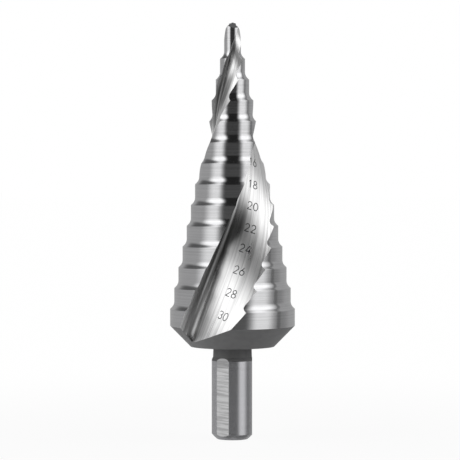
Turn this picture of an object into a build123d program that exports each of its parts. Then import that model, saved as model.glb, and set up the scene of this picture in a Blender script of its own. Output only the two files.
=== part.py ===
from build123d import *
import os
from math import cos, degrees, log, radians, sin, sqrt, tan

# Spiral-fluted step drill, ground from one bar of high-speed steel, in millimetres.
# The axis is Z and the origin is the centre of the shank's end face, so the tip points up.
# Angles about the axis are counted from -Y (the front) towards +X.

# Stepped head
PILOT_DIAMETER = 4.0  # smallest hole, drilled by the point
DIAMETER_RISE = 2.0  # growth from one step to the next
STEP_COUNT = 14  # pilot included: 4, 6, 8 ... 30 mm
STEP_PITCH = 5.0  # rim to rim, along the axis
PILOT_LENGTH = 8.7  # tip to the second rim
LAST_LAND = 4.0  # length of the largest land
STEP_FILLET = 2.0  # hollow corner that leads from each land to the next rim
LARGEST_FILLET_SHARE = 0.95  # of the rise, so that a small rise keeps some chamfer
RIM_SLOPE = 45.0  # chamfer between that corner and the rim, from the axis
BACK_CONE_HEIGHT = 5.0
BACK_CONE_END_DIAMETER = 20.2

# Neck and three-flat shank
SHANK_DIAMETER = 10.0
SHANK_LENGTH = 18.9  # ground cylinder and its end chamfer
SHANK_END_CHAMFER = 1.3
EDGE_CROWN = 0.05  # the shank's two turned slopes are this much fuller than straight
SHOULDER_LENGTH = 0.85  # slope from the shank's full diameter to the neck
NECK_LENGTH = 2.55
NECK_BOTTOM_DIAMETER = 9.35
NECK_TOP_DIAMETER = 9.2
FLAT_DEPTH = 0.28  # taken off the shank's radius
FLAT_COUNT = 3
FLAT_TURN = -30.0  # place of the first flat

# Two spiral flutes, right-handed, for a tool that turns from -Y towards +X
FLUTE_COUNT = 2
HELIX_AT_PILOT = 20.7  # helix angles against the axis
HELIX_AT_LAST_STEP = 25.0
EDGE_TURN = -48.5  # place of the cutting edge at the largest rim
ARC_AT_PILOT = 87.0  # angle that a flute takes out of the circle
ARC_AT_LAST_STEP = 61.0
ARC_EASE = 1.4  # the arc narrows a little faster near the large end
CORE_AT_PILOT = 0.75  # radius of the core between the flutes
CORE_AT_LAST_STEP = 10.4
RAKE = 10.0  # hook of the cutting face
FLOOR_RADIUS_SHARE = 0.12  # hollow at the foot of the cutting face, as a share of the radius
BACK_RADIUS_SHARE = 1.6  # gentle crown of the flute's back, as a share of the radius
STATION_TURN = 10.0  # turn between two sections of the flute
OUTSIDE_SHARE = 1.25  # the cutter's outer limit, against the radius that it cuts
OUTSIDE_MARGIN = 0.5  # and this much more, for the pilot
OVERRUN_BELOW = 1.0  # the cutter goes on past the back cone
OVERRUN_ABOVE = 0.6  # and past the tip
HALVINGS = 40  # steps of the search for a section's height

# Split point
POINT_ANGLE = 118.0
LIP_CLEARANCE = 14.0
GASH_TURN = 30.0  # inner lip ahead of the outer one, seen from the tip
GASH_ANGLE = 38.0  # slope of the gash's floor from the axis
GASH_WEB = 0.2  # thickness left between the two gashes

rise = DIAMETER_RISE / 2
pilot_radius = PILOT_DIAMETER / 2
last_radius = pilot_radius + rise * (STEP_COUNT - 1)
shank_radius = SHANK_DIAMETER / 2
shoulder_z = SHANK_LENGTH
neck_z = shoulder_z + SHOULDER_LENGTH
head_z = neck_z + NECK_LENGTH
last_land_z = head_z + BACK_CONE_HEIGHT
last_rim_z = last_land_z + LAST_LAND
first_rim_z = last_rim_z + STEP_PITCH * (STEP_COUNT - 2)
tip_z = first_rim_z + PILOT_LENGTH

slope = radians(RIM_SLOPE)
fillet = min(STEP_FILLET, LARGEST_FILLET_SHARE * rise / (1 - cos(slope)))
fillet_rise = fillet * (1 - cos(slope))
chamfer_rise = rise - fillet_rise
chamfer_height = chamfer_rise / tan(slope)
step_height = chamfer_height + fillet * sin(slope)


def on_circle(radius, turn, z=0.0):
    """Point at a radius, turned in degrees from +X towards +Y."""
    return Vector(radius * cos(radians(turn)), radius * sin(radians(turn)), z)


def circles_cross(centre_a, radius_a, centre_b, radius_b):
    """Both points where two circles in one plane cross."""
    gap = centre_b - centre_a
    along = (gap.length**2 + radius_a**2 - radius_b**2) / (2 * gap.length)
    aside = sqrt(radius_a**2 - along**2)
    foot = centre_a + gap.normalized() * along
    side = Vector(-gap.Y, gap.X).normalized() * aside
    return foot + side, foot - side


def turned_blank():
    """The solid of revolution: shank, neck, back cone and steps, up to the flat-topped pilot."""
    with BuildPart() as blank:
        with BuildSketch(Plane.XZ):
            with BuildLine():
                end = (shank_radius - SHANK_END_CHAMFER, 0)
                wall_start = (shank_radius, SHANK_END_CHAMFER)
                wall_end = (shank_radius, shoulder_z)
                neck = (NECK_BOTTOM_DIAMETER / 2, neck_z)
                Polyline((0, tip_z), (0, 0), end)
                SagittaArc(end, wall_start, -EDGE_CROWN)
                Line(wall_start, wall_end)
                SagittaArc(wall_end, neck, -EDGE_CROWN)
                Polyline(
                    neck,
                    (NECK_TOP_DIAMETER / 2, head_z),
                    (BACK_CONE_END_DIAMETER / 2, head_z),
                    (last_radius, last_land_z),
                )
                land_start = last_land_z
                for step in range(STEP_COUNT - 1):
                    radius = last_radius - rise * step
                    rim_z = last_rim_z + STEP_PITCH * step
                    corner = (radius - chamfer_rise, rim_z + chamfer_height)
                    centre_z = rim_z + step_height
                    mid = (
                        radius - rise + fillet * (1 - cos(slope / 2)),
                        centre_z - fillet * sin(slope / 2),
                    )
                    Line((radius, land_start), (radius, rim_z))
                    Line((radius, rim_z), corner)
                    ThreePointArc(corner, mid, (radius - rise, centre_z))
                    land_start = centre_z
                Line((pilot_radius, land_start), (pilot_radius, tip_z))
                Line((pilot_radius, tip_z), (0, tip_z))
            make_face()
        revolve(axis=Axis.Z)
    return blank.part


def envelope(z):
    """Radius of the cone that the rims touch, held at the pilot's radius near the tip."""
    return max(pilot_radius, last_radius - (z - last_rim_z) * rise / STEP_PITCH)


def edge_turn(z):
    """Turn of the cutting edge: the helix angle grows with the logarithm of the radius."""
    span = log(last_radius / pilot_radius)
    start, end = tan(radians(HELIX_AT_PILOT)), tan(radians(HELIX_AT_LAST_STEP))
    grown = log(envelope(z) / pilot_radius)

    def turned(length):
        return (start * length + (end - start) * length**2 / (2 * span)) * STEP_PITCH / rise

    pilot_z = last_rim_z + (STEP_COUNT - 1) * STEP_PITCH
    on_pilot = max(0.0, z - pilot_z) * start / pilot_radius
    return EDGE_TURN + degrees(turned(span) - turned(grown) + on_pilot)


def flute_section(z):
    """Section of the flute cutter at a height, closed well outside the head.

    A cutting face with a little hook, a small hollow at its foot, then a long crowned back that
    rises to the heel, all tangent to each other.
    """
    radius = envelope(z)
    share = (radius - pilot_radius) / (last_radius - pilot_radius)
    core = CORE_AT_PILOT + (CORE_AT_LAST_STEP - CORE_AT_PILOT) * share
    arc = ARC_AT_PILOT + (ARC_AT_LAST_STEP - ARC_AT_PILOT) * share**ARC_EASE
    floor_radius = FLOOR_RADIUS_SHARE * radius
    back_radius = BACK_RADIUS_SHARE * radius
    outside = OUTSIDE_SHARE * radius + OUTSIDE_MARGIN

    edge = Vector(radius, 0)
    inward = Vector(-cos(radians(RAKE)), -sin(radians(RAKE)))
    across = Vector(-sin(radians(RAKE)), cos(radians(RAKE)))
    # the hollow touches the core circle and the cutting face
    offset = edge + across * floor_radius
    along = -offset.dot(inward)
    depth = along - sqrt(along**2 - offset.dot(offset) + (core + floor_radius) ** 2)
    hollow = offset + inward * depth
    foot = hollow - across * floor_radius
    # the crowned back touches the hollow and passes through the heel
    heel = on_circle(radius, arc)
    centres = circles_cross(hollow, floor_radius + back_radius, heel, back_radius)
    crown = min(centres, key=lambda point: point.dot(heel))
    back_start = hollow + (crown - hollow).normalized() * floor_radius
    ends = circles_cross(Vector(0, 0), outside, crown, back_radius)
    back_end = min(ends, key=lambda point: (point - heel).length)
    rake_outer = edge - inward * (outside - radius)

    lowest = hollow + (((foot + back_start) / 2) - hollow).normalized() * floor_radius
    back_mid = crown + (((back_start + back_end) / 2) - crown).normalized() * back_radius
    middle_turn = arc / 2
    outline = [
        Line(rake_outer, foot),
        ThreePointArc(foot, lowest, back_start),
        ThreePointArc(back_start, back_mid, back_end),
        ThreePointArc(back_end, on_circle(outside, middle_turn), rake_outer),
    ]
    return Pos(0, 0, z) * Rot(0, 0, edge_turn(z) - 90) * make_face(outline)


def flute_stations():
    """Heights of the sections, one for each equal part of the flute's turn."""
    bottom, top = head_z - OVERRUN_BELOW, tip_z + OVERRUN_ABOVE
    whole = edge_turn(top) - edge_turn(bottom)
    count = round(whole / STATION_TURN)
    heights = [bottom]
    for index in range(1, count):
        wanted = edge_turn(bottom) + whole * index / count
        low, high = heights[-1], top
        for _ in range(HALVINGS):
            middle = (low + high) / 2
            if edge_turn(middle) < wanted:
                low = middle
            else:
                high = middle
        heights.append(low)
    return heights + [top]


def flute_cutter():
    return loft([flute_section(z) for z in flute_stations()])


def flank_cutter(turn):
    """Everything above one flank: a plane through the tip that falls along and behind its lip."""
    size = 4 * pilot_radius
    block = Pos(0, 0, size / 2) * Box(2 * size, 2 * size, size)
    fall = Rot(0, 90 - POINT_ANGLE / 2, 0) * Rot(LIP_CLEARANCE, 0, 0)
    return Pos(0, 0, tip_z) * Rot(0, 0, turn - 90) * fall * block


def gash_cutter(turn):
    """The notch that splits the point: an upright wall beside the axis makes the inner lip.

    Its floor falls outwards from the tip and takes the heel corner off the land across the flute.
    """
    size = 2 * PILOT_DIAMETER
    valley = Plane(
        origin=(0, GASH_WEB / 2, 0),
        x_dir=(0, 1, 0),
        z_dir=(sin(radians(GASH_ANGLE)), 0, -cos(radians(GASH_ANGLE))),
    )
    notch = extrude(valley * Pos(size / 2, size / 2) * Rectangle(size, size), amount=size, both=True)
    return Pos(0, 0, tip_z) * Rot(0, 0, turn + GASH_TURN - 90) * notch


step_drill = turned_blank()
cutter = flute_cutter()
for flute in range(FLUTE_COUNT):
    step_drill -= Rot(0, 0, flute * 360 / FLUTE_COUNT) * cutter

lip_turn = edge_turn(tip_z - pilot_radius / tan(radians(POINT_ANGLE / 2)))
for lip in range(FLUTE_COUNT):
    turn = lip_turn + lip * 360 / FLUTE_COUNT
    step_drill -= flank_cutter(turn)
    step_drill -= gash_cutter(turn)

flat_size = SHANK_DIAMETER
flat_top = neck_z + NECK_LENGTH / 2
flat_tool = Pos(shank_radius - FLAT_DEPTH + flat_size / 2, 0, flat_top / 2) * Box(
    flat_size, flat_size, flat_top
)
for flat in range(FLAT_COUNT):
    step_drill -= Rot(0, 0, FLAT_TURN - 90 + flat * 360 / FLAT_COUNT) * flat_tool

step_drill.label = "step_drill"
os.makedirs("parts", exist_ok=True)
export_step(step_drill, "parts/step_drill.step")
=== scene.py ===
"""A spiral-fluted step drill in bare ground steel, standing on its shank in a light studio."""

from math import atan2, cos, degrees, log, pi, radians, sin, sqrt, tan

import bmesh
import bpy
import numpy as np
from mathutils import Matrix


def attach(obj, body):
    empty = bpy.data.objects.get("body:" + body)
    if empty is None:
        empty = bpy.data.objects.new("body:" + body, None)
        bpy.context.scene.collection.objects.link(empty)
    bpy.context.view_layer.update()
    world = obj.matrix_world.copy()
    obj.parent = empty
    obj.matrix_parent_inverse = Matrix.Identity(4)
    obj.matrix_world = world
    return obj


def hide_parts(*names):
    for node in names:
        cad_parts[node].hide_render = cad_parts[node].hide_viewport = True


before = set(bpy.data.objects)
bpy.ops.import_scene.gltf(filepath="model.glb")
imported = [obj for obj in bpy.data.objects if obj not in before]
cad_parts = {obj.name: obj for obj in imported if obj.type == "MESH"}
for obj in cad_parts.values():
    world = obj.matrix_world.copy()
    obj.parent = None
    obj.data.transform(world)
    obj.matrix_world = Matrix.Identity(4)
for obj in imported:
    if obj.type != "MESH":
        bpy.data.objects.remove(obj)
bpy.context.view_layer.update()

# Sizes of the drill, in millimetres. Angles are in degrees, apart from those turned into radians
# here. Turns go from -Y (the front) towards +X.
MM = 0.001
PILOT_RADIUS, LAST_RADIUS, RISE, PITCH, STEPS = 2.0, 15.0, 1.0, 5.0, 14
FILLET, RIM_SLOPE, RIM_WEAR = 2.0, radians(45), 0.02
NECK_TOP, CONE_TOP, LAST_RIM, TIP = 22.3, 27.3, 31.3, 100.0
CONE_END_RADIUS = 10.1
HELIX_AT_PILOT, HELIX_AT_LAST, EDGE_TURN = 20.7, 25.0, -48.5
ARC_AT_PILOT, ARC_AT_LAST, ARC_EASE = 87.0, 61.0, 1.4
CORE_AT_PILOT, CORE_AT_LAST = 0.75, 10.4
RAKE, FLOOR_SHARE, BACK_SHARE = radians(10), 0.12, 1.6
POINT_SLOPE, LIP_CLEARANCE = radians(31), radians(14)
GASH_TURN, GASH_ANGLE, GASH_WEB = 30.0, radians(38), 0.2
SHANK_RADIUS, SHANK_TOP, END_CHAMFER, FLAT_REACH, FLAT_TURN = 5.0, 18.9, 1.3, 4.72, -30.0
NECK_BOTTOM, NECK_BOTTOM_RADIUS, NECK_TOP_RADIUS, EDGE_CROWN = 19.75, 4.675, 4.6, 0.05
LAND_RELIEF = 0.12  # each step drops this much from its cutting edge back to its heel
RELIEF_BLEND = 3.0  # height over which the relief starts and ends

PILOT_START = LAST_RIM + (STEPS - 1) * PITCH
CHAMFER = RISE - FILLET * (1 - cos(RIM_SLOPE))
STEP_HEIGHT = CHAMFER / tan(RIM_SLOPE) + FILLET * sin(RIM_SLOPE)

# Columns of points across one half turn: cutting face, hollow, back of the flute, then land
FACE, HOLLOW, BACK, LAND = 8, 14, 40, 58
FLUTE = FACE + HOLLOW + BACK
HALF = FLUTE + LAND
RUNOUT_ROWS, CONE_ROWS, PILOT_ROWS, SEARCH_ROWS = 40, 7, 26, 90
RIM_ROWS, FILLET_ROWS = 4, 10
FLAT_COLUMNS, ROUND_COLUMNS = 26, 54  # of the shank, for each third of a turn
SLOPE_ROWS, END_ROWS, NECK_ROWS, UNDERSIDE_ROWS, SLOPE_SAMPLES = 7, 5, 5, 6, 60
LAND_MAP_WIDTH = 25.0  # a land's width on its own map
DULL_MAP_START = 50.0  # the neck's height on its map starts here, clear of the back cone's

MERGE_DISTANCE = 0.0008  # points closer than this are one
SHARP_ANGLE = radians(22)  # edges sharper than this stay crisp
HALVINGS = 40  # of a height that is searched for
SLACK = 1e-9  # rounding allowed in a comparison

# Finishes, in the order of the drill's material slots
LAND_STEEL, FLUTE_STEEL, DULL_STEEL, POINT_STEEL, SHANK_STEEL, FLAT_STEEL = range(6)


# ---- surfaces: a point across the axis is a complex number, x + iy ----


def envelope(z):
    """Radius of the cone that the rims touch, held at the pilot's radius near the tip."""
    return np.maximum(PILOT_RADIUS, LAST_RADIUS - (z - LAST_RIM) * RISE / PITCH)


def edge_turn(z):
    """Turn of the cutting edge: the tangent of its helix grows with the radius's logarithm."""
    span = log(LAST_RADIUS / PILOT_RADIUS)
    start, end = tan(radians(HELIX_AT_PILOT)), tan(radians(HELIX_AT_LAST))
    grown = np.log(envelope(z) / PILOT_RADIUS)

    def turned(length):
        return (start * length + (end - start) * length**2 / (2 * span)) * PITCH / RISE

    on_pilot = np.maximum(0.0, z - PILOT_START) * start / PILOT_RADIUS
    return radians(EDGE_TURN) + turned(span) - turned(grown) + on_pilot


def flute_law(z):
    """The flute's section at each height, in a frame whose real axis meets the cutting edge.

    It gives the envelope's radius, the cutting face's length, the centre of the hollow's arc, the
    heel, the centre of the back's arc, the radii of the two arcs, and the face's outward way. The
    hollow's arc touches the face and the core circle. The back's arc touches the hollow's arc
    and passes through the heel.
    """
    radius = envelope(z)
    share = (radius - PILOT_RADIUS) / (LAST_RADIUS - PILOT_RADIUS)
    core = CORE_AT_PILOT + (CORE_AT_LAST - CORE_AT_PILOT) * share
    arc = np.radians(ARC_AT_PILOT + (ARC_AT_LAST - ARC_AT_PILOT) * share**ARC_EASE)
    floor, back = FLOOR_SHARE * radius, BACK_SHARE * radius
    out = np.exp(1j * RAKE)
    offset = radius + 1j * out * floor
    along = (offset * np.conj(out)).real
    depth = along - np.sqrt(along**2 - abs(offset) ** 2 + (core + floor) ** 2)
    hollow = offset - out * depth
    heel = radius * np.exp(1j * arc)
    gap = heel - hollow
    near = (abs(gap) ** 2 + (floor + back) ** 2 - back**2) / (2 * abs(gap))
    aside = 1j * np.sqrt((floor + back) ** 2 - near**2)
    pair = [hollow + gap / abs(gap) * (near + sign * aside) for sign in (1, -1)]
    inner = [(centre * np.conj(heel)).real for centre in pair]
    crown = np.where(inner[0] < inner[1], pair[0], pair[1])
    return radius, depth, hollow, heel, crown, floor, back, out


def wrapped(angle):
    """The same angle, between minus half a turn and half a turn."""
    return (angle + pi) % (2 * pi) - pi


def back_arc(hollow, heel, crown):
    """Angle at which the arc of the flute's back begins about its centre, and its whole turn."""
    begin = np.angle(crown - hollow) + pi
    return begin, wrapped(np.angle(heel - crown) - begin)


def placed(point, z):
    """Points of the flute's own frame, turned to where the cutting edge is at their height."""
    return point * np.exp(1j * (edge_turn(z) - pi / 2))


def half_turn(z, rho):
    """Points across one flute and the land behind it, and how far each is across the flute.

    The cutting face is a straight line with a little hook, the hollow an arc that touches it,
    and the back a crowned arc up to the heel, all cut off at the turned radius rho. The land is
    the rest of that circle, as far as the next cutting edge. z has one height for each column.
    """
    radius, depth, hollow, heel, crown, floor, back, out = flute_law(z)
    step = np.arange(HALF + 1)
    on_face = np.clip(step / FACE, 0, 1)
    on_hollow = np.clip((step - FACE) / HOLLOW, 0, 1)
    on_back = np.clip((step - FACE - HOLLOW) / BACK, 0, 1)
    on_land = np.clip((step - FLUTE) / LAND, 0, 1)

    first = radius * cos(RAKE) - np.sqrt(rho**2 - (radius * sin(RAKE)) ** 2)
    face = radius - out * (first + (depth - first) * on_face)
    low = np.angle(-1j * out)
    sweep = wrapped(np.angle(crown - hollow) - low)
    bowl = hollow + floor * np.exp(1j * (low + sweep * on_hollow))
    begin, whole = back_arc(hollow, heel, crown)
    reach = np.arccos((abs(crown) ** 2 + back**2 - rho**2) / (2 * abs(crown) * back))
    ends = [wrapped(np.angle(-crown) + sign * reach - begin) / whole for sign in (1, -1)]
    end = np.where(abs(ends[0] - 1) < abs(ends[1] - 1), ends[0], ends[1])
    crest = crown + back * np.exp(1j * (begin + whole * end * on_back))

    heel_turn = np.angle(crown + back * np.exp(1j * (begin + whole * end)))
    edge = np.angle(radius - out * first) + pi
    land = rho * np.exp(1j * (heel_turn + (edge - heel_turn) * on_land))
    point = np.where(step <= FACE, face, np.where(step <= FACE + HOLLOW, bowl, crest))
    point = np.where(step > FLUTE, land, point)
    across = (first - depth) * (1 - on_face) / radius + FLOOR_SHARE * abs(sweep) * on_hollow
    across = across + BACK_SHARE * abs(whole) * end * on_back
    return placed(point, z), across


def point_top(place):
    """Height of the point over a place: two flanks through the tip and two gashes beside it."""
    lip = edge_turn(np.array(TIP - PILOT_RADIUS / tan(pi / 2 - POINT_SLOPE))) - pi / 2
    top = np.full(place.shape, np.inf)
    for turn in (0.0, pi):
        flank = place * np.exp(-1j * (lip + turn))
        fall = tan(POINT_SLOPE) * flank.real
        top = np.minimum(top, TIP - fall + tan(LIP_CLEARANCE) / cos(POINT_SLOPE) * flank.imag)
        gash = flank * np.exp(-1j * radians(GASH_TURN))
        floor = TIP - gash.real / tan(GASH_ANGLE)
        top = np.where(gash.imag > GASH_WEB / 2, np.minimum(top, floor), top)
    return top


def cone_radius(z):
    """Radius of the back cone."""
    growth = (LAST_RADIUS - CONE_END_RADIUS) / (CONE_TOP - NECK_TOP)
    return CONE_END_RADIUS + (z - NECK_TOP) * growth


def crossing(inside, low, high):
    """For each column, the height between low and high at which inside(height) stops holding."""
    for _ in range(HALVINGS):
        middle = (low + high) / 2
        holds = inside(middle)
        low, high = np.where(holds, middle, low), np.where(holds, high, middle)
    return (low + high) / 2


def stepped_profile():
    """Height, radius and relief of each row of the head, from the back cone to the pilot.

    Each step is a land, a slightly worn rim, a chamfer and a hollow fillet. The rim is a
    quadratic curve from a to c that bends towards the sharp corner b: with t from 0 to 1, it is
    a (1 - t)^2 + 2 b t (1 - t) + c t^2.
    """
    land = np.array([0.0, 0.03, 0.27, 0.52, 0.76, 0.97, 1.0])
    t = np.linspace(0, 1, RIM_ROWS)[1:, None]
    curl = np.linspace(RIM_SLOPE, 0, FILLET_ROWS)
    wear = RIM_WEAR * np.array([cos(RIM_SLOPE), -sin(RIM_SLOPE)])
    rows, start = [], CONE_TOP
    for step in range(STEPS - 1):
        radius, rim = LAST_RADIUS - step * RISE, LAST_RIM + step * PITCH
        height = start + (rim - RIM_WEAR - start) * land
        rows.append(np.c_[height, np.full_like(height, radius)])
        corner = np.array([rim, radius])
        begin, end = corner - [RIM_WEAR, 0.0], corner + wear
        rows.append(begin * (1 - t) ** 2 + corner * 2 * t * (1 - t) + end * t**2)
        centre = np.array([rim + STEP_HEIGHT, radius - RISE + FILLET])
        rows.append(centre - FILLET * np.c_[np.sin(curl), np.cos(curl)])
        start = rim + STEP_HEIGHT
    rows = np.vstack(rows)
    z, rho = rows.T
    relief = LAND_RELIEF * np.clip((z - CONE_TOP - 0.5) / RELIEF_BLEND, 0, 1)
    relief *= np.clip((PILOT_START - RELIEF_BLEND - z) / RELIEF_BLEND, 0, 1)
    return z, rho, relief


def solid(place, z):
    """Points x, y, z from places across the axis and their heights."""
    return np.stack([place.real, place.imag, np.broadcast_to(z, place.shape)], axis=-1)


def head():
    """The stepped head: per half turn, a flute, a land, and the cone and the point they end in.

    A land drops evenly from its cutting edge to its heel, and the flute's back brings the rows of
    points back up. The cap on each half of the point is a patch stretched over its four sides.
    With u and v from 0 to 1 across it, it is the straight blend of one pair of sides plus that of
    the other pair, less the bilinear blend of the corners.
    """
    column = np.arange(HALF + 1)
    climb = np.clip((column - FACE - HOLLOW) / BACK, 0, 1)
    drop = np.where(column <= FLUTE, climb, 1 - (column - FLUTE) / LAND)
    row_z, row_rho, relief = stepped_profile()
    steps_z = row_z[:, None] + relief[:, None] * (0.5 - drop)
    steps, steps_across = half_turn(steps_z, row_rho[:, None])

    # the flute runs on below the largest land until it comes out of the back cone
    def in_cone(z):
        return abs(half_turn(z, LAST_RADIUS)[0]) <= cone_radius(z) + SLACK

    exit_z = crossing(in_cone, np.full(HALF + 1, CONE_TOP), np.full(HALF + 1, NECK_TOP))
    exit_z = np.where(column < FLUTE, exit_z, CONE_TOP)
    exit_z[0] = CONE_TOP
    fade = np.linspace(1, 0, RUNOUT_ROWS)[:, None]
    runout_z = CONE_TOP + (exit_z - CONE_TOP) * fade
    runout, runout_across = half_turn(runout_z, LAST_RADIUS)
    cone_z = NECK_TOP + (exit_z - NECK_TOP) * np.linspace(0, 1, CONE_ROWS)[:, None]
    cone = runout[0] / abs(runout[0]) * cone_radius(cone_z)

    # the pilot rises to the ground point
    def in_pilot(z):
        return z < point_top(half_turn(z, PILOT_RADIUS)[0])

    rise = np.linspace(PILOT_START - 1.5, TIP, SEARCH_ROWS)[:, None] * np.ones(HALF + 1)
    first_out = np.argmin(in_pilot(rise), axis=0)
    low, high = rise[first_out - 1, 0], rise[first_out, 0]
    top_z = crossing(in_pilot, low, high)
    pilot_z = row_z[-1] + (top_z - row_z[-1]) * np.linspace(0, 1, PILOT_ROWS)[:, None]
    pilot, pilot_across = half_turn(pilot_z, PILOT_RADIUS)

    # each half of the point is a patch between its land and the web
    rim = pilot[-1]
    split = FLUTE // 2
    u, v = np.linspace(0, 1, LAND + 1), np.linspace(0, 1, split + 1)[:, None]
    web = rim[split] * (1 - 2 * u)
    heel_side, face_side = rim[split : FLUTE + 1, None], -rim[split::-1, None]
    corners = (1 - u) * ((1 - v) * rim[split] + v * rim[FLUTE])
    corners = corners + u * ((1 - v) * -rim[split] + v * rim[HALF])
    cap = (1 - v) * web + v * rim[FLUTE:] + (1 - u) * heel_side + u * face_side - corners
    cap_z = point_top(cap)
    cap_z[-1] = top_z[FLUTE:]
    cap_z[:, 0], cap_z[:, -1] = top_z[split : FLUTE + 1], top_z[split::-1]

    patches = []
    flute_z = np.vstack([runout_z[:-1], steps_z[:-1], pilot_z])
    flute = np.vstack([runout[:-1], steps[:-1], pilot])
    across = np.vstack([runout_across[:-1], steps_across[:-1], pilot_across])
    land_z, land = np.vstack([steps_z[:-1], pilot_z]), np.vstack([steps[:-1], pilot])
    round_map = np.linspace(0, LAND_MAP_WIDTH, HALF + 1)
    everything = slice(None)

    def add(place, z, map_x, map_y, columns, finish):
        spread = np.stack(np.broadcast_arrays(map_x, map_y), axis=-1)
        patches.append((solid(place, z)[:, columns], spread[:, columns], finish))

    for side in (1, -1):
        in_flute, on_land = slice(0, FLUTE + 1), slice(FLUTE, None)
        add(side * flute, flute_z, across * LAST_RADIUS, flute_z, in_flute, FLUTE_STEEL)
        add(side * land, land_z, round_map, land_z, on_land, LAND_STEEL)
        add(side * cone, cone_z, round_map, cone_z, everything, DULL_STEEL)
        cap_points, cap_map = solid(side * cap, cap_z), np.stack([cap.real, cap.imag], axis=-1)
        patches.append((cap_points[:, ::-1], cap_map, POINT_STEEL))
    return patches, cone[0]


def crowned(start, end):
    """A turned slope from start to end, (height, radius) both, a little fuller than straight."""
    t = np.linspace(0, 1, SLOPE_SAMPLES)[:, None]
    start, end = np.array(start), np.array(end)
    run = end - start
    out = np.array([-run[1], run[0]]) / np.hypot(*run)
    return start + run * t + out * EDGE_CROWN * 4 * t * (1 - t)


def shank(cone_ring):
    """The neck and the three-flat shank, in columns that line up with the flats' edges.

    Each column is a straight wall, at the cylinder or at a flat, between two turned slopes that
    it meets where the slope's radius equals its own.
    """
    reach = degrees(atan2(sqrt(SHANK_RADIUS**2 - FLAT_REACH**2), FLAT_REACH))
    on_flat = np.linspace(-reach, reach, FLAT_COLUMNS + 1)[:-1]
    on_round = np.linspace(reach, 120 - reach, ROUND_COLUMNS + 1)[:-1]
    thirds = [120 * third + np.r_[on_flat, on_round] for third in range(3)]
    turn = np.concatenate(thirds + [[360 - reach]])
    away = (turn + 60) % 120 - 60
    turn = np.radians(turn + FLAT_TURN)
    wall = np.minimum(SHANK_RADIUS, FLAT_REACH / np.cos(np.radians(away)))
    wall = np.where(abs(away) > reach, SHANK_RADIUS, wall)
    ways = np.exp(1j * (turn - pi / 2))

    low = crowned((0, SHANK_RADIUS - END_CHAMFER), (END_CHAMFER, SHANK_RADIUS))
    high = crowned((SHANK_TOP, SHANK_RADIUS), (NECK_BOTTOM, NECK_BOTTOM_RADIUS))
    wall_start = np.interp(wall, low[:, 1], low[:, 0])
    wall_end = np.interp(-wall, -high[:, 1], high[:, 0])

    t = np.linspace(0, 1, SLOPE_ROWS)[:, None]
    chamfer_z = wall_start * t
    chamfer = np.interp(chamfer_z, low[:, 0], low[:, 1])
    face = chamfer[0] * np.linspace(0, 1, END_ROWS)[:, None]
    wall_t = np.array([0, 0.01, 0.1, 0.3, 0.5, 0.7, 0.9, 0.99, 1])[:, None]
    wall_z = wall_start + (wall_end - wall_start) * wall_t
    shoulder_z = wall_end + (NECK_BOTTOM - wall_end) * t
    shoulder = np.interp(shoulder_z, high[:, 0], high[:, 1])
    t = np.linspace(0, 1, NECK_ROWS)[:, None]
    neck_z = NECK_BOTTOM + (NECK_TOP - NECK_BOTTOM) * t
    neck = NECK_BOTTOM_RADIUS + (NECK_TOP_RADIUS - NECK_BOTTOM_RADIUS) * t

    around = turn * SHANK_RADIUS
    patches = []

    def ring_patch(radius, z, finish, columns=slice(None)):
        place = radius * ways
        z = np.broadcast_to(z, place.shape)
        along = z + DULL_MAP_START if finish == DULL_STEEL else z
        spread = np.stack([np.broadcast_to(around, place.shape), along], axis=-1)
        patches.append((solid(place, z)[:, columns], spread[:, columns], finish))

    ring_patch(face, 0.0, SHANK_STEEL)
    ring_patch(chamfer, chamfer_z, SHANK_STEEL)
    start = 0
    for count, finish in 3 * ((FLAT_COLUMNS, FLAT_STEEL), (ROUND_COLUMNS, SHANK_STEEL)):
        columns = slice(start, start + count + 1)
        ring_patch(np.broadcast_to(wall, wall_z.shape), wall_z, finish, columns)
        start += count
    ring_patch(shoulder, shoulder_z, DULL_STEEL)
    ring_patch(neck, neck_z, DULL_STEEL)
    t = np.linspace(0, 1, UNDERSIDE_ROWS)[:, None]
    place = NECK_TOP_RADIUS * ways * (1 - t) + cone_ring * t
    spread = np.stack([place.real, place.imag], axis=-1)
    patches.append((solid(place, NECK_TOP), spread, DULL_STEEL))
    return patches


def skin(name, patches, finishes):
    """One closed mesh from patches of points, each a grid with its own spread map and finish."""
    points, faces, corners, kinds, count = [], [], [], [], 0
    for grid, spread, finish in patches:
        rows, columns = grid.shape[:2]
        index = count + np.arange(rows * columns).reshape(rows, columns)
        quads = [index[:-1, :-1], index[:-1, 1:], index[1:, 1:], index[1:, :-1]]
        faces.append(np.stack(quads, axis=-1).reshape(-1, 4))
        flat = spread.reshape(-1, 2)
        corners.append(flat[faces[-1] - count].reshape(-1, 2))
        kinds.append(np.full(len(faces[-1]), finish))
        points.append(grid.reshape(-1, 3))
        count += rows * columns
    mesh = bpy.data.meshes.new(name)
    mesh.from_pydata((np.vstack(points) * MM).tolist(), [], np.vstack(faces).tolist())
    layer = mesh.uv_layers.new(name="spread")
    layer.data.foreach_set("uv", np.vstack(corners).ravel())
    mesh.polygons.foreach_set("material_index", np.concatenate(kinds))
    for finish in finishes:
        mesh.materials.append(finish)
    work = bmesh.new()
    work.from_mesh(mesh)
    bmesh.ops.remove_doubles(work, verts=work.verts, dist=MERGE_DISTANCE * MM)
    bmesh.ops.recalc_face_normals(work, faces=work.faces)
    if work.calc_volume(signed=True) < 0:
        bmesh.ops.reverse_faces(work, faces=work.faces)
    work.to_mesh(mesh)
    work.free()
    mesh.polygons.foreach_set("use_smooth", np.ones(len(mesh.polygons), bool))
    mesh.set_sharp_from_angle(angle=SHARP_ANGLE)
    made = bpy.data.objects.new(name, mesh)
    bpy.context.scene.collection.objects.link(made)
    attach(made, "root")
    return made


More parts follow.
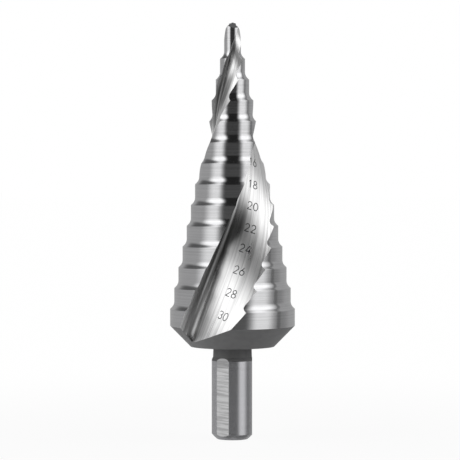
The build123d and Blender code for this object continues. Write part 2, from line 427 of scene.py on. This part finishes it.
# ---- step sizes, marked on the back of one flute ----
# Height on the axis and share of the way across the back for each number's middle, then the
# figures' sizes in millimetres
NUMBERS = {
    "16": (66.6, 0.27), "18": (61.3, 0.303), "20": (56.1, 0.385), "22": (50.9, 0.431),
    "24": (46.1, 0.441), "26": (41.0, 0.472), "28": (35.7, 0.497), "30": (30.4, 0.545),
}
FIGURE_HEIGHT, FIGURE_WIDTH, FIGURE_GAP, STROKE = 1.9, 1.12, 0.42, 0.2
PROUD, SUNK = 0.015, 0.03
Z_STEP, SHARE_STEP = 0.01, 0.001  # for slopes of the flute's back


def bow(x, y, reach, rise, start, end):
    """Part of an ellipse, as complex numbers in a figure's own unit box."""
    turn = np.radians(np.linspace(start, end, 25))
    return x + 1j * y + reach * np.cos(turn) + 1j * rise * np.sin(turn)


def line(*corners):
    """Straight strokes from corner to corner."""
    steps = [np.linspace(a, b, 7)[:-1] for a, b in zip(corners, corners[1:])]
    return np.concatenate(steps + [[corners[-1]]])


# The strokes of each figure, in a box one wide and one high
FIGURES = {
    "0": [bow(0.5, 0.5, 0.5, 0.5, 0, 360)],
    "1": [line(0.3 + 0.76j, 0.66 + 1j, 0.66)],
    "2": [np.r_[bow(0.48, 0.71, 0.44, 0.29, 165, -30), line(0.02, 1.0)]],
    "3": [np.r_[bow(0.46, 0.75, 0.42, 0.25, 155, -85), bow(0.46, 0.27, 0.48, 0.27, 80, -155)]],
    "4": [line(0.62 + 1j, 0.02 + 0.27j, 1.0 + 0.27j), line(0.74 + 0.56j, 0.74)],
    "6": [np.r_[line(0.74 + 1j, 0.22 + 0.55j)[:-1], bow(0.5, 0.31, 0.48, 0.31, 150, 480)]],
    "8": [bow(0.5, 0.76, 0.38, 0.24, -90, 270), bow(0.5, 0.25, 0.48, 0.25, 90, 450)],
}


def on_back(z, share):
    """Points on the back of the first flute, the way off its surface there, and its slopes.

    The slopes are the changes of a point with its height and with its share of the way across.
    """

    def at(z, share):
        _, _, hollow, heel, crown, _, back, _ = flute_law(z)
        begin, whole = back_arc(hollow, heel, crown)
        return solid(placed(crown + back * np.exp(1j * (begin + whole * share)), z), z)

    along = (at(z + Z_STEP, share) - at(z - Z_STEP, share)) / (2 * Z_STEP)
    aside = (at(z, share + SHARE_STEP) - at(z, share - SHARE_STEP)) / (2 * SHARE_STEP)
    off = np.cross(aside, along)
    off /= np.linalg.norm(off, axis=-1, keepdims=True)
    here = at(z, share)
    return here, off * np.sign(np.sum(off * here, axis=-1, keepdims=True)), along, aside


def marked_numbers():
    """Thin strokes, sunk a little in the steel and standing a hair proud of it.

    A stroke is a path across the tangent plane at its number's middle, carried onto the flute by
    the surface's own two directions there, and widened to a flat closed strip.
    """
    patches = []
    for number, (z, share) in NUMBERS.items():
        here, off, along, aside = on_back(np.array(z), np.array(share))
        up = along / np.linalg.norm(along)
        across = np.cross(up, off)
        ways = np.array([[across @ aside, across @ along], [up @ aside, up @ along]])
        back = np.linalg.inv(ways)
        for place, figure in enumerate(number):
            left = (place - 0.5) * (FIGURE_WIDTH + FIGURE_GAP) - FIGURE_WIDTH / 2
            for path in FIGURES[figure]:
                path = left + path.real * FIGURE_WIDTH + 1j * (path.imag - 0.5) * FIGURE_HEIGHT
                closed = abs(path[0] - path[-1]) < SLACK
                run = np.gradient(path)
                if closed:
                    run[0] = run[-1] = path[1] - path[-2]
                side = 1j * run / abs(run) * STROKE / 2
                sides = np.stack([path + side, path - side, path - side, path + side, path + side])
                shares = share + back[0, 0] * sides.real + back[0, 1] * sides.imag
                heights = z + back[1, 0] * sides.real + back[1, 1] * sides.imag
                points, off_there, *_ = on_back(heights, shares)
                lift = np.array([PROUD, PROUD, -SUNK, -SUNK, PROUD])[:, None, None]
                strip = points + off_there * lift
                spread = np.stack([sides.real, sides.imag], axis=-1)
                patches.append((strip, spread, 0))
                for end in () if closed else (0, -1):
                    cap = strip[[[0, 1], [3, 2]], end]
                    patches.append((cap, spread[[[0, 1], [3, 2]], end], 0))
    return patches


# ---- shading: light, floor and finishes ----


class Value:
    """One output in a node tree. Arithmetic on it adds Math nodes."""

    def __init__(self, tree, socket=None):
        self.tree, self.socket = tree, socket

    def node(self, kind, sockets=None, out=0, **settings):
        """Any node: its settings first, then its sockets by name or number."""
        made = self.tree.nodes.new(kind)
        for name, setting in settings.items():
            setattr(made, name, setting)
        for name, value in (sockets or {}).items():
            if isinstance(value, Value):
                self.tree.links.new(value.socket, made.inputs[name])
            else:
                made.inputs[name].default_value = value
        return Value(self.tree, made.outputs[out] if made.outputs else None)

    def maths(self, operation, *values):
        """A Math node."""
        return self.node("ShaderNodeMath", dict(enumerate(values)), operation=operation)

    def outputs(self):
        """All the outputs of this value's node, by name."""
        return {socket.name: Value(self.tree, socket) for socket in self.socket.node.outputs}

    def split(self):
        """The three numbers of a vector."""
        parts = self.node("ShaderNodeSeparateXYZ", {0: self}).outputs()
        return parts["X"], parts["Y"], parts["Z"]

    def __add__(self, other):
        return self.maths("ADD", self, other)

    def __radd__(self, other):
        return self.maths("ADD", other, self)

    def __sub__(self, other):
        return self.maths("SUBTRACT", self, other)

    def __rsub__(self, other):
        return self.maths("SUBTRACT", other, self)

    def __mul__(self, other):
        return self.maths("MULTIPLY", self, other)

    def __rmul__(self, other):
        return self.maths("MULTIPLY", other, self)

    def __truediv__(self, other):
        return self.maths("DIVIDE", self, other)

    def __pow__(self, other):
        return self.maths("POWER", self, other)

    def __neg__(self):
        return self.maths("MULTIPLY", self, -1.0)

    def __abs__(self):
        return self.maths("ABSOLUTE", self)

    def ease(self, low, high, to_low=0.0, to_high=1.0):
        """Smooth step of this value from low to high."""
        sockets = {0: self, 1: low, 2: high, 3: to_low, 4: to_high}
        return self.node("ShaderNodeMapRange", sockets, interpolation_type="SMOOTHSTEP")

    def blend(self, first, second):
        """first where this value is 0, second where it is 1."""
        return first + self * (second - first)


def nodes_of(owner):
    """An empty node tree on a material or a world, as a value to build from."""
    owner.use_nodes = True
    owner.node_tree.nodes.clear()
    return Value(owner.node_tree)


# Brightness of the studio's parts
ROOM_LIGHT, STRIP_LIGHT, FAR_LIGHT, DARK_CORNER, DARK_CARD = 0.42, 0.22, 0.45, 0.12, 0.12


def studio_world():
    """Two tall soft boxes beside the camera with a dark gap between, in a mid grey room.

    Everything is a mask on the direction x, y, z. The gap is a band across the front and
    overhead. A box fills each side of it and fades out behind, past a slanted edge. Behind the
    right box is a dark strip, up behind the left one a dark corner, low on the right a dark
    card, and low at the far back two strips of light. What the camera sees directly is white.
    """
    world = bpy.data.worlds.new("studio")
    bpy.context.scene.world = world
    start = nodes_of(world)
    x, y, z = start.node("ShaderNodeTexCoord").split()
    up = start.maths("MAXIMUM", z, 0.0)
    right = x.ease(-0.1, 0.1)
    half_gap = right.blend(0.55 - 0.27 * up, 0.55 - 0.12 * up - 0.17 * up**4.0)
    beside = (abs(x) / half_gap).ease(0.66, 1.34)
    ahead = 1.0 - (y - 0.45 * up).ease(0.1, 0.35)
    slant = y - 0.5 * up
    fade = right.blend(slant.ease(-0.56, -0.02), slant.ease(-0.42, 0.05))
    box_light = z.ease(-0.02, 0.12, 0.98, 1.27) + z.ease(0.25, 0.5, 0.0, 0.3)
    box_light = box_light - z.ease(0.6, 0.95, 0.0, 0.2)
    gap_light = z.ease(-0.12, 0.08, 0.15, 0.02)
    strip = slant.ease(-0.03, 0.03) * (1.0 - slant.ease(0.12, 0.2)) * right
    corner = x * -0.52 + y * 0.52 + z * 0.68
    card = x * 0.78 + y * 0.12 - z * 0.62
    turn = abs(start.maths("ARCTAN2", x, -y)) * (180 / pi)
    far = turn.ease(148.0, 154.0) * (1.0 - turn.ease(168.0, 174.0)) * (1.0 - z.ease(-0.34, -0.24))
    studio = ((1.0 - fade) * beside).blend(ROOM_LIGHT, box_light)
    studio = ((1.0 - beside) * ahead).blend(studio, gap_light)
    studio = strip.blend(studio, STRIP_LIGHT)
    studio = corner.ease(0.86, 1.0).blend(studio, DARK_CORNER)
    studio = card.ease(0.7, 0.95).blend(studio, DARK_CARD)
    studio = far.blend(studio, FAR_LIGHT)
    rays = start.node("ShaderNodeLightPath").outputs()
    seen = rays["Is Camera Ray"] + rays["Is Transmission Ray"]
    light = {"Color": (1.0, 1.0, 1.0, 1.0), "Strength": seen.blend(studio, 1.0)}
    background = start.node("ShaderNodeBackground", light)
    start.node("ShaderNodeOutputWorld", {"Surface": background})


FLOOR_HALF_WIDTH = 3.0  # metres
SHADOW_REACH, GLOW_NEAR, GLOW_FAR = (0.03, 0.2), 0.93, 0.995


def floor():
    """A pale sheet that goes white for the camera but keeps a soft shadow round the drill."""
    mesh = bpy.data.meshes.new("floor")
    corners = [(x, y, 0.0) for x, y in ((-1, -1), (1, -1), (1, 1), (-1, 1))]
    corners = (np.array(corners) * FLOOR_HALF_WIDTH).tolist()
    mesh.from_pydata(corners, [], [(0, 1, 2, 3)])
    sheet = bpy.data.objects.new("floor", mesh)
    bpy.context.scene.collection.objects.link(sheet)
    sheet.visible_glossy = False
    material = bpy.data.materials.new("pale_floor")
    start = nodes_of(material)
    camera_ray = start.node("ShaderNodeLightPath").outputs()["Is Camera Ray"]
    place = start.node("ShaderNodeTexCoord").outputs()["Object"]
    away = start.node("ShaderNodeVectorMath", {0: place}, out=1, operation="LENGTH")
    glow = camera_ray * away.ease(*SHADOW_REACH, GLOW_NEAR, GLOW_FAR)
    paper = start.node("ShaderNodeBsdfDiffuse", {"Color": (0.9, 0.9, 0.9, 1.0)})
    white = start.node("ShaderNodeEmission", {"Strength": 1.0})
    mix = start.node("ShaderNodeMixShader", {0: glow, 1: paper, 2: white})
    start.node("ShaderNodeOutputMaterial", {"Surface": mix})
    mesh.materials.append(material)


def noise(start, *place):
    """Soft noise at three coordinates, from nodes or plain numbers."""
    vector = start.node("ShaderNodeCombineXYZ", dict(enumerate(place)))
    sockets = {"Vector": vector, "Scale": 1.0, "Detail": 3.0, "Roughness": 0.6}
    return start.node("ShaderNodeTexNoise", sockets, noise_dimensions="3D")


def steel(
    name, colour, rough, lines, depth, contrast, shade=None, metal=1.0, stretch=0.0, turn=0.0
):
    """Ground steel: lines(across, along) gives the grinding marks' coordinates as three numbers.

    The marks tilt the surface by a bump of the given depth in millimetres, darken it by up to the
    contrast and vary its gloss a little. shade(across, along) is painted shade: it darkens the
    colour where it returns less than one. The gloss is drawn out by stretch, in the direction of
    turn. Across and along are the two coordinates of the surface's own map, in millimetres.
    """
    material = bpy.data.materials.new(name)
    start = nodes_of(material)
    across, along, _ = start.node("ShaderNodeUVMap", uv_map="spread").split()
    marks = noise(start, *lines(across, along))
    patches = noise(start, across * 0.3, along * 0.12)
    tone = marks.ease(0.32, 0.64, 1.0 - contrast, 1.0) * patches.ease(0.3, 0.7, 0.97, 1.0)
    # painted shade, multiplied into the colour
    if shade:
        tone = tone * shade(across, along)
    painted = start.node("ShaderNodeVectorMath", {0: colour, "Scale": tone}, operation="SCALE")
    bump = start.node("ShaderNodeBump", {"Height": marks, "Distance": depth * MM})
    gloss = rough + (patches - 0.5) * 0.1 + (marks - 0.5) * 0.06
    sockets = {"Base Color": painted, "Metallic": metal, "Roughness": gloss, "Normal": bump}
    sockets.update({"Anisotropic": stretch, "Anisotropic Rotation": turn})
    shader = start.node("ShaderNodeBsdfPrincipled", sockets)
    start.node("ShaderNodeOutputMaterial", {"Surface": shader})
    return material


def around(across, along):
    """Fine lines round the axis, as a turning or grinding wheel leaves them."""
    return across * 0.02, along * 2.6, along * 0.2


def down_the_flute(across, along):
    """Fine lines that follow the flute."""
    return across * 1.6, along * 0.03, across * 0.2


def blotchy(across, along):
    """No direction: a dull, slightly mottled skin."""
    return across * 0.9, along * 0.9, along * 0.3


def over_the_flat(across, along):
    """Coarser lines straight across a flat, a little askew."""
    return across * 0.12, along * 2.2 + across * 0.15, across * 0.1


def painted_flute_shade(across, along):
    """Painted shade in the flute: a dark band down its hollow, which spreads beside it half way
    up.

    The band is faint at the back cone and deepest half way up. Above that it nearly goes, then
    deepens and widens towards the pilot, where a short streak of painted dark reflection lies
    next to it.
    """
    middle = along.ease(46.0, 51.0) * along.ease(55.0, 62.0, 1.0, 0.0)
    beyond = across - along.ease(72.0, 90.0, 0.0, 2.8) - middle * 2.2
    hollow = across.ease(-1.5, 0.3) * (1.0 - beyond.ease(3.2, 5.6))
    streak = beyond.ease(3.5, 6.5) * (1.0 - beyond.ease(9.5, 13.0))
    streak = streak * along.ease(77.0, 82.0) * (1.0 - along.ease(86.0, 90.0))
    depth = along.ease(30.0, 46.0, 0.2, 0.72) - along.ease(51.0, 61.0, 0.0, 0.58)
    depth = depth + along.ease(68.0, 74.0, 0.0, 0.5)
    side = across.ease(4.5, 6.0) * across.ease(8.0, 11.0, 1.0, 0.0)
    side = side * along.ease(46.0, 51.5) * along.ease(53.0, 57.5, 1.0, 0.0)
    return (1.0 - hollow * depth) * (1.0 - 0.65 * streak) * (1.0 - 0.4 * side)


def painted_flat_end_shade(across, along):
    """Painted shade on the upper end of each flat, as though it turned a little away from the
    light.
    """
    return along.ease(17.2, 17.6, 1.0, 0.68)


def painted_neck_shade(across, along):
    """Painted shade on the neck, under the back cone's overhang; its part of the map starts above
    the cone's.
    """
    return along.ease(40.0, 60.0, 1.0, 0.66)


# ---- camera ----
CAMERA_DISTANCE, CAMERA_HEIGHT, CAMERA_ASIDE, CAMERA_FALL = 0.607, 0.07, -0.0006, 0.0325
FOCAL_PIXELS, FRAME_PIXELS = 2528, 460


def camera():
    """A long lens a little above the middle of the drill, looking slightly down."""
    data = bpy.data.cameras.new("camera")
    data.lens = FOCAL_PIXELS / FRAME_PIXELS * data.sensor_width
    data.clip_start, data.clip_end = 0.01, 20.0
    eye = bpy.data.objects.new("camera", data)
    bpy.context.scene.collection.objects.link(eye)
    eye.location = (CAMERA_ASIDE, -CAMERA_DISTANCE, CAMERA_HEIGHT)
    eye.rotation_euler = (pi / 2 - CAMERA_FALL, 0.0, 0.0)
    bpy.context.scene.camera = eye


# ---- the scene ----
bpy.context.scene.view_settings.view_transform = "Standard"
studio_world()
floor()
camera()

# In the order of the slots named above. Gloss spreads up and down on a land, across in a flute.
finishes = [
    steel("ground_land", (0.7, 0.7, 0.71), 0.14, around, 0.006, 0.1, stretch=0.6, turn=0.25),
    # painted shade down the flute's hollow and a painted dark reflection near the pilot
    steel(
        "ground_flute", (0.98, 0.98, 0.98), 0.29, down_the_flute, 0.016, 0.33, painted_flute_shade,
        stretch=0.85,
    ),
    # painted shade on the neck
    steel("dull_turned", (0.5, 0.5, 0.505), 0.8, blotchy, 0.004, 0.08, painted_neck_shade),
    steel("ground_point", (0.6, 0.6, 0.61), 0.2, blotchy, 0.004, 0.1),
    steel("ground_shank", (0.58, 0.58, 0.6), 0.2, around, 0.004, 0.06, metal=0.8),
    # painted shade on the flats' upper ends
    steel("ground_flat", (0.58, 0.58, 0.585), 0.25, over_the_flat, 0.012, 0.34, painted_flat_end_shade),
]
patches, cone_ring = head()
whole_ring = np.r_[cone_ring, -cone_ring[1:]]
drill = skin("drill_body", patches + shank(whole_ring), finishes)
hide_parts("step_drill")
mark = steel("laser_mark", (0.07, 0.07, 0.075), 0.55, blotchy, 0.002, 0.1)
skin("step_numbers", marked_numbers(), [mark])
